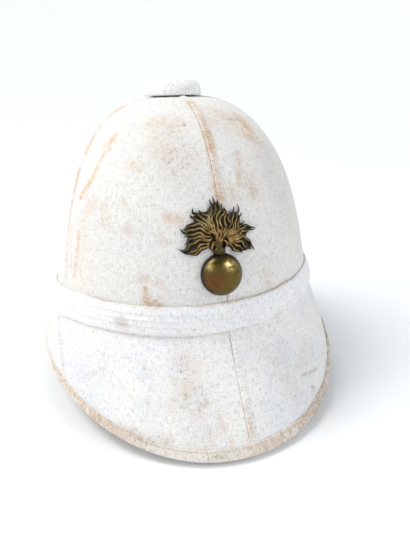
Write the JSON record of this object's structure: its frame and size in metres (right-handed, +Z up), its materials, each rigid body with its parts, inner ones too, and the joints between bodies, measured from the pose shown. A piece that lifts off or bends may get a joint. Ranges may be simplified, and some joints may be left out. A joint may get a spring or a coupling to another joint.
{
  "type": "pith helmet",
  "caption": "Cloth-covered sun helmet with a tall rounded crown, a hat band, a sloping bound brim, a top ventilator button and a brass flaming-ball badge in front.",
  "frame": {"origin": "on the floor under the middle of the brim", "axes": "+Z up, front of the helmet towards -Y, wearer's left towards +X"},
  "size_m": [0.2444, 0.3256, 0.2299],
  "materials": {
    "pith": "pressed pith, dull",
    "canvas": "whitened cotton canvas, worn to tan on the seams",
    "band_cloth": "whitened folded cotton",
    "edge_cloth": "whitened cotton tape, worn to tan",
    "brass": "aged, dark in the hollows"
  },
  "bodies": {
    "root": {"shell": "pith", "crown_panel_front_left": "canvas", "crown_panel_front_right": "canvas", "crown_panel_back_left": "canvas", "crown_panel_back_right": "canvas", "brim_panel_front_left": "canvas", "brim_panel_front_right": "canvas", "brim_panel_back_left": "canvas", "brim_panel_back_right": "canvas", "hat_band": "band_cloth", "rim_binding": "edge_cloth", "vent_button": "band_cloth", "badge": "brass"}
  },
  "joints": []
}
